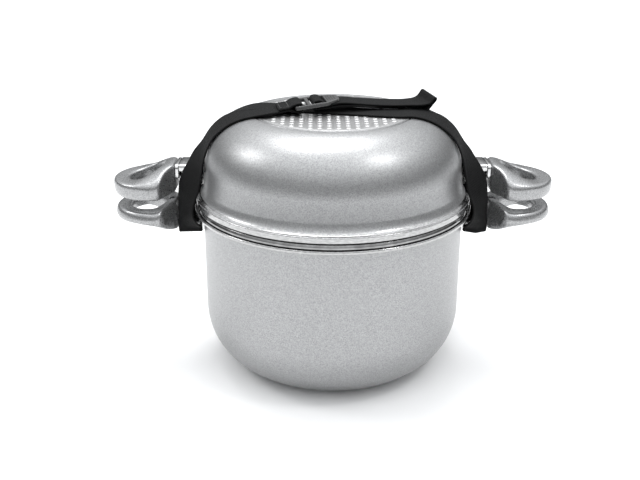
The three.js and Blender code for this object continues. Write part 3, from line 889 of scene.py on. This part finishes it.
def lid_rim():
    outline = rounded([
        (109.2, -5.5, 0.5), (109.2, 0, 0.4), (LID_RADIUS, 0, 1.0), (LID_RADIUS, 2, 0.8),
        (LID_RADIUS - 0.9, LID_FLANGE - 0.7, 0.8), (LID_RADIUS - 2.2, LID_FLANGE, 0.8),
        (110.4, LID_FLANGE, 0.8), (109.2, 6.4, 0.8), (104.6, 7.3, 0.3), (104.6, 6.4, 0.3),
        (GLASS_EDGE + GAP, 5.3, 0.3), (GLASS_EDGE + GAP, 1.5, 0.3), (105.2, 1.5, 0.3),
        (105.2, 0.6, 0.3), (107.9, 0.6, 0.3), (107.9, -5.5, 0.5),
    ], closed=True)
    return turned("fine_lid_steel_rim", outline, [MIRROR], closed=True)


def lid_washer(top):
    outline = rounded([
        (KNOB_BORE + GAP, top + GAP), (11, top + GAP, 0.5), (11, top + 1.8, 0.7),
        (KNOB_BORE + GAP, top + 1.8),
    ], closed=True)
    return turned("fine_lid_knob_washer", outline, [SEAL], segments=64, closed=True)


def lid_knob(seat):
    bore_top = seat + 12
    outline = rounded([
        (0, bore_top), (KNOB_BORE, bore_top), (KNOB_BORE, seat), (9.5, seat, 0.6),
        (8.3, seat + 3, 2), (8.5, seat + 8, 3), (13.5, seat + 11.2, 2),
        *arc(7, seat + 16, 11, 6, -34, 84, 16), (5.5, seat + 21.4, 1.2), (0, seat + 21.2),
    ])
    return turned("fine_lid_knob", outline, [KNOB], segments=96)


def lid_screw(under, seat):
    shank = KNOB_BORE - GAP
    outline = rounded([
        (0, under - 2.2), (1.6, under - 2.2), (1.8, under - 2.8, 0.2), (5, under - 2.8, 0.9),
        (6.4, under - 1.4, 0.7), (6.4, under - GAP, 0.2), (shank, under - GAP),
        (shank, seat + 11.4, 0.5), (0, seat + 11.4),
    ])
    return turned("fine_lid_knob_screw", outline, [POLISHED], segments=48)


def vent_eyelet():
    low = glass_under(VENT_AT) - 1.6
    high = low + GLASS_THICK + 3.2
    outline = rounded([
        (1.3, low, 0.3), (4.2, low, 0.3), (4.2, low + 0.6, 0.2), (2.2, low + 0.6),
        (2.2, high - 0.6), (4.2, high - 0.6, 0.2), (4.2, high, 0.3), (1.3, high, 0.3),
    ], closed=True)
    piece = turned("fine_lid_vent_eyelet", outline, [POLISHED], segments=48, closed=True)
    return place(piece, shift(0, VENT_AT, 0))


def lid_pieces():
    under = glass_under(KNOB_BORE)
    top = under + GLASS_THICK
    seat = top + 1.8 + GAP
    made = {
        "lid_glass": lid_glass(),
        "lid_steel_rim": lid_rim(),
        "lid_knob_washer": lid_washer(top),
        "lid_knob": lid_knob(seat),
        "lid_knob_screw": lid_screw(under, seat),
        "lid_vent_eyelet": vent_eyelet(),
    }
    for node, piece in made.items():
        stands_for(place(piece, shift(0, 0, LID_SEAT)), node)


# ------------------------------------------------------------------------------- strap

BUCKLE_FRAME = shift(*BUCKLE_CORNER) @ turn(BUCKLE_YAW, "Z") @ turn(-BUCKLE_PITCH, "Y")


def at_buckle(a, c):
    """The strap's two edges at a along and c above the buckle's own frame."""
    return [BUCKLE_FRAME @ Vector((a, b, c)) for b in (-STRAP_WIDE / 2, STRAP_WIDE / 2)]


def on_top(x, y, height, lean=0.0):
    """The two edges where the strap lies across the top, height above the deep pot's rim."""
    return [Vector((x - lean * b, y + b, DEEP["height"] + height))
            for b in (-STRAP_WIDE / 2, STRAP_WIDE / 2)]


# One leg from the top down to the neck: the edge that follows the pot and the edge that
# swings outward, heights above the deep pot's rim.
LEG = [
    [(66, -25.2, 79.1), (66, -0.2, 79.1)],
    [(76.6, -25.2, 76.5), (80, -0.2, 77.7)],
    [(88.2, -25.4, 70.8), (92.5, -0.6, 73.6)],
    [(99.8, -25.8, 60.2), (103, -1.6, 65)],
    [(107, -26.8, 45), (112.6, -4.6, 51.5)],
    [(109.6, -29.4, 31), (122.4, -13.6, 39)],
    [(113, -31.6, 16), (130.2, -15.6, 24)],
    [(117.6, -32, 4), (132.8, -15.4, 6)],
    [(118.4, -31, -5), (133.2, -15, -7)],
    [(116.4, -23, -15), (134.2, -15.2, -15)],
    [(114.6, -14.9, -21.2), (134.4, -14.8, -21.2)],
    [(114.4, -13.6, -24.4), (134.4, -13.6, -24.4)],
    [(114.4, -10.5, -25.3), (134.4, -10.5, -25.3)],
]


def side_stations(side):
    """The front leg down, under the neck and the rear leg up, on one side."""
    def move(point, mirror):
        return Vector((side * point[0], mirror * point[1], DEEP["height"] + point[2]))

    down = [[move(point, 1) for point in pair] for pair in LEG]
    up = [[move(point, -1) for point in pair] for pair in reversed(LEG)]
    route = down + up
    return route if side < 0 else [[far, near] for near, far in route]


def sag(point):
    """How far the webbing hangs below the necks: folded lengthwise right, tipped left."""
    low = 1 - smoothstep(point.z - DEEP["height"], -19, 6)
    out = min(1.0, max(0.0, (abs(point.x) - 114) / 20.4))
    if point.x > 0:
        return low * 1.9 * min(out / 0.58, (1 - out) / 0.42)
    return low * 0.5 * out


# Half of the webbing's section: the share of the width and the share of half its thickness.
SELVAGE = [(-0.006, 0.0), (0.004, 0.62), (0.022, 0.95), (0.05, 1.06), (0.085, 0.98)]
ACROSS = 12


def section_shares():
    inner = [(t, 0.95 + 0.05 * math.cos(40 * t)) for t in np.linspace(0.12, 0.88, ACROSS)]
    upper = SELVAGE + inner + [(1 - t, h) for t, h in reversed(SELVAGE)]
    return upper + [(t, -h) for t, h in reversed(upper[1:-1])]


def ribbon(name, stations, steps=6, hang=False):
    """Webbing swept through stations of edge pairs, with a UV map in millimetres."""
    edges = [catmull_rom([pair[e] for pair in stations], steps) for e in (0, 1)]
    middles = [(a + b) / 2 for a, b in zip(*edges)]
    shares = section_shares()
    rings, alongs = [], []
    travelled = 0.0
    for i, (a, b) in enumerate(zip(*edges)):
        ahead = middles[min(i + 1, len(middles) - 1)] - middles[max(i - 1, 0)]
        normal = ahead.cross(b - a).normalized()
        ring = []
        for t, h in shares:
            point = a.lerp(b, t) + normal * (h * STRAP_THICK / 2)
            if hang:
                point.z -= sag(point)
            ring.append(point)
        rings.append(ring)
        if i:
            travelled += (middles[i] - middles[i - 1]).length
        alongs.append(travelled)
    piece = loft(name, rings, [WEBBING], closed=False, crease=75)
    layer = piece.data.uv_layers.new(name="webbing")
    around = len(shares)
    for loop in piece.data.loops:
        ring, place_in_ring = divmod(loop.vertex_index, around)
        layer.data[loop.index].uv = (alongs[ring], shares[place_in_ring][0] * STRAP_WIDE)
    return piece


def threads(name, stitches):
    """Short threads lying on the webbing, each from (start, end, up)."""
    work = bmesh.new()
    for start, end, up in stitches:
        along = end - start
        across = along.cross(up).normalized()
        rings = []
        for t in np.linspace(0, 1, 7):
            bulge = math.sin(math.pi * (0.08 + 0.84 * t))
            centre = start.lerp(end, t) + up * (0.34 * bulge - 0.12)
            thick = 0.3 * (0.5 + 0.5 * bulge)
            ring = [centre + thick * (across * math.cos(a) + up * 0.8 * math.sin(a))
                    for a in np.linspace(0, 2 * math.pi, 8, endpoint=False)]
            rings.append([work.verts.new(point * MM) for point in ring])
        for low, high in zip(rings, rings[1:]):
            for j in range(8):
                k = (j + 1) % 8
                work.faces.new((low[j], low[k], high[k], high[j]))
        work.faces.new(rings[0])
        work.faces.new(rings[-1])
    bmesh.ops.recalc_face_normals(work, faces=work.faces)
    mesh = bpy.data.meshes.new(name)
    work.to_mesh(mesh)
    work.free()
    mesh.materials.append(THREAD)
    shade(mesh, 60)
    obj = bpy.data.objects.new(name, mesh)
    bpy.context.scene.collection.objects.link(obj)
    return obj


SEWN_BAR_TURN = [
    (-14, 1.1), (-5, 1.4), (-1.6, 2.8), (1.8, 3.4), (5.1, 3.0), (6.4, 0.3),
    (5.1, -2.5), (1.8, -2.9), (-1.6, -2.1), (-5, -0.9), (-14, -0.9),
]
TOOTHED_BAR_TURN = [
    (38, -4), (27, -3.6), (20, -3.1), (16.8, -2.3), (15.9, 0.3), (16.6, 2.8), (19.4, 3.4),
    (22.1, 2.6), (23.6, 0.6), (25, -1), (28, -1.4), (38, -1.4),
]


def strap_loop():
    """From the sewn end at the buckle, round both sides of the pots, back to the buckle."""
    under_strand = [on_top(-52, 12.7, 79.1), on_top(0, 0, 79.1), on_top(52, -12.7, 79.1)]
    stations = [
        *[at_buckle(a, c) for a, c in SEWN_BAR_TURN],
        on_top(-54, -12.7, 81.2),
        *side_stations(-1),
        *[[rear, front] for front, rear in under_strand],
        *side_stations(1),
        on_top(54, 12.7, 81.2),
        on_top(44, 11, 81.8, 0.05),
    ]
    piece = ribbon("strap_loop", stations, hang=True)
    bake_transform(piece)
    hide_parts("strap_webbing")


def hem_fold(last, before):
    """Stations that fold the strap's end back on itself."""
    middle = (last[0] + last[1]) / 2
    ahead = (middle - (before[0] + before[1]) / 2).normalized()
    up = ahead.cross(last[1] - last[0]).normalized()
    steps = [(0.9, -0.35), (1.2, -1.0), (0.9, -1.65), (-0.4, -2.0), (-6, -2.0), (-12.5, -2.0)]
    return [[edge + ahead * forward + up * rise for edge in last] for forward, rise in steps]


def strap_free_end():
    """Round the toothed bar and out under the thumb tab to the folded hem."""
    raised = DEEP["height"]
    hem = [
        [Vector((76, -0.6, raised + 83.4)), Vector((70.5, 23.6, raised + 84.8))],
        [Vector((82.2, 0.4, raised + 84.9)), Vector((73.6, 23.7, raised + 87.0))],
        [Vector((85.4, 1.0, raised + 88.4)), Vector((76.4, 24.0, raised + 91.2))],
    ]
    stations = [
        on_top(44, 11, 81.8, 0.05),
        on_top(38, 10, 82, 0.1),
        *[at_buckle(a, c) for a, c in TOOTHED_BAR_TURN],
        on_top(28, 8.5, 84.4, 0.08),
        on_top(47, 10, 83.3, 0.08),
        on_top(64, 11.5, 83.2, 0.12),
        *hem,
        *hem_fold(hem[-1], hem[-2]),
    ]
    piece = ribbon("strap_free_end", stations)
    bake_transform(piece)
    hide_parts("strap_webbing")


def sewn_end_stitches():
    """A box of stitching that closes the strap's loop round the buckle's fixed bar."""
    up = (BUCKLE_FRAME.to_3x3() @ Vector((0, 0, 1))).normalized()
    stitches = []

    def run(start, end, count):
        for i in range(count):
            a, b = (start.lerp(end, (i + part) / count) for part in (0.08, 0.86))
            ends = [BUCKLE_FRAME @ Vector((p.x, p.y, 2.15)) for p in (a, b)]
            stitches.append((*ends, up))

    for a in (-5.5, -12.5):
        run(Vector((a, -10, 0)), Vector((a, 10, 0)), 9)
    for b in (-10, 10):
        run(Vector((-12.5, b, 0)), Vector((-5.5, b, 0)), 3)
    piece = threads("strap_stitching", stitches)
    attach(piece, "shallow_pot")


# ------------------------------------------------------------------------------ buckle


def buckle():
    """A ladder-lock frame with three slots, a ribbed thumb tab and rounded edges."""
    half, length, low, high, ease = 15, 38, -1.2, 1.8, 0.5
    outline = rounded([
        (0, -half, 1.6), (26, -half, 3), (31, -12.2, 6), (length, -8, 7), (length, 8, 7),
        (31, 12.2, 6), (26, half, 3), (0, half, 1.6),
    ], closed=True)
    reach = half - 1.9
    slots = [
        rounded([(a, -reach, 0.8), (b, -reach, 0.8), (b, reach, 0.8), (a, reach, 0.8)], closed=True)
        for a, b in ((4.2, 10.4), (13.2, 17.6), (20.6, 26.4))
    ]
    curve = bpy.data.curves.new("buckle_outline", "CURVE")
    curve.dimensions = "2D"
    curve.fill_mode = "BOTH"
    curve.bevel_depth = ease * MM
    curve.bevel_resolution = 2
    curve.offset = -ease * MM
    curve.extrude = ((high - low) / 2 - ease) * MM
    for loop in [outline, *slots]:
        line = curve.splines.new("POLY")
        line.points.add(len(loop) - 1)
        for point, (a, b) in zip(line.points, loop):
            point.co = (a * MM, b * MM, 0, 1)
        line.use_cyclic_u = True
    source = bpy.data.objects.new("buckle_outline", curve)
    bpy.context.scene.collection.objects.link(source)
    bpy.context.view_layer.update()
    mesh = bpy.data.meshes.new_from_object(source)
    bpy.data.objects.remove(source)
    piece = bpy.data.objects.new("fine_strap_buckle", mesh)
    bpy.context.scene.collection.objects.link(piece)
    weld(piece)
    place(piece, shift(0, 0, (high + low) / 2))
    hollow = loft("hollow", [
        [(24, b, c), (length + 2, b, c), (length + 2, -b, c), (24, -b, c)]
        for b, c in ((13.1, -3), (13.1, -0.1))
    ], [], closed=False)
    cut(piece, hollow)
    add_grips(piece)
    piece.data.materials.clear()
    piece.data.materials.append(BUCKLE)
    shade(piece.data, 40)
    return stands_for(place(piece, BUCKLE_FRAME), "strap_buckle")


def add_grips(piece):
    """Raised ribs on the thumb tab and along the two side rails."""
    ribs = [((a, -reach, 1.75), (a, reach, 1.75)) for a, reach in
            ((28.6, 9.5), (30.6, 9.5), (32.6, 8.5), (34.6, 7))]
    ribs += [((1.5, b, 1.75), (26, b, 1.75)) for b in (-14.1, 14.1)]
    work = bmesh.new()
    work.from_mesh(piece.data)
    for start, end in ribs:
        start, end = Vector(start), Vector(end)
        across = (end - start).cross(Vector((0, 0, 1))).normalized()
        rings = []
        for t in np.linspace(0, 1, 13):
            full = math.sqrt(max(0.0, 1 - (2 * abs(t - 0.5)) ** 6)) + 0.05
            centre = start.lerp(end, t)
            rings.append([work.verts.new((centre + full * (
                across * 0.55 * math.cos(a) + Vector((0, 0, 0.5 * math.sin(a))))) * MM)
                for a in np.linspace(0, 2 * math.pi, 10, endpoint=False)])
        for one, two in zip(rings, rings[1:]):
            for j in range(10):
                k = (j + 1) % 10
                work.faces.new((one[j], one[k], two[k], two[j]))
        work.faces.new(rings[0])
        work.faces.new(rings[-1])
    bmesh.ops.recalc_face_normals(work, faces=work.faces)
    work.to_mesh(piece.data)
    work.free()


# ------------------------------------------------------------------- camera and studio


def camera():
    data = bpy.data.cameras.new("camera")
    data.lens = CAMERA_LENS
    data.sensor_width = 36
    obj = bpy.data.objects.new("camera", data)
    obj.location = CAMERA_AT
    obj.rotation_euler = (math.radians(90 - CAMERA_DOWN), 0, 0)
    bpy.context.scene.collection.objects.link(obj)
    bpy.context.scene.camera = obj


def floor():
    finish = Finish("floor_white", Specular_IOR_Level=0.2)
    finish.tint(finish.spread(finish.noise(400, 2.0), 0, 1), 0.92, 0.94)
    finish.rough(0.8)
    half = 8000
    piece = mesh_piece(
        "floor", [(-half, -half, 0), (half, -half, 0), (half, half, 0), (-half, half, 0)],
        [(0, 1, 2, 3)], [finish.material],
    )


def area_light(name, position, target, size, power):
    data = bpy.data.lights.new(name, "AREA")
    data.shape = "RECTANGLE"
    data.size, data.size_y = size
    data.energy = power
    obj = bpy.data.objects.new(name, data)
    obj.location = position
    aim = Vector(target) - Vector(position)
    obj.rotation_euler = aim.to_track_quat("-Z", "Y").to_euler()
    bpy.context.scene.collection.objects.link(obj)


def sky():
    """Soft light from above that falls off towards the horizon."""
    world = bpy.data.worlds.new("studio")
    world.use_nodes = True
    tree = world.node_tree
    split = tree.nodes.new("ShaderNodeSeparateXYZ")
    spread = tree.nodes.new("ShaderNodeMapRange")
    spread.interpolation_type = "SMOOTHSTEP"
    for name, value in (("From Min", 0.06), ("From Max", 0.95), ("To Min", 0.08), ("To Max", 1.75)):
        spread.inputs[name].default_value = value
    tree.links.new(tree.nodes.new("ShaderNodeTexCoord").outputs["Generated"], split.inputs[0])
    tree.links.new(split.outputs["Z"], spread.inputs["Value"])
    background = tree.nodes["Background"]
    background.inputs["Color"].default_value = (0.97, 0.985, 1, 1)
    tree.links.new(spread.outputs[0], background.inputs["Strength"])
    bpy.context.scene.world = world


def studio():
    sky()
    bpy.context.scene.view_settings.view_transform = "Standard"
    area_light("top", (-0.1, 0.36, 1.5), (0, 0, 0.2), (0.85, 0.55), 11)
    area_light("left", (-1.06, 0.1, 0.98), (0, 0, 0.2), (0.3, 0.3), 2.6)
    area_light("right", (0.72, -0.36, 1.28), (0, 0, 0.2), (0.22, 0.22), 2.6)


camera()
floor()
studio()
pot_pieces(DEEP)
pot_pieces(SHALLOW)
lid_pieces()
strap_loop()
strap_free_end()
sewn_end_stitches()
buckle()
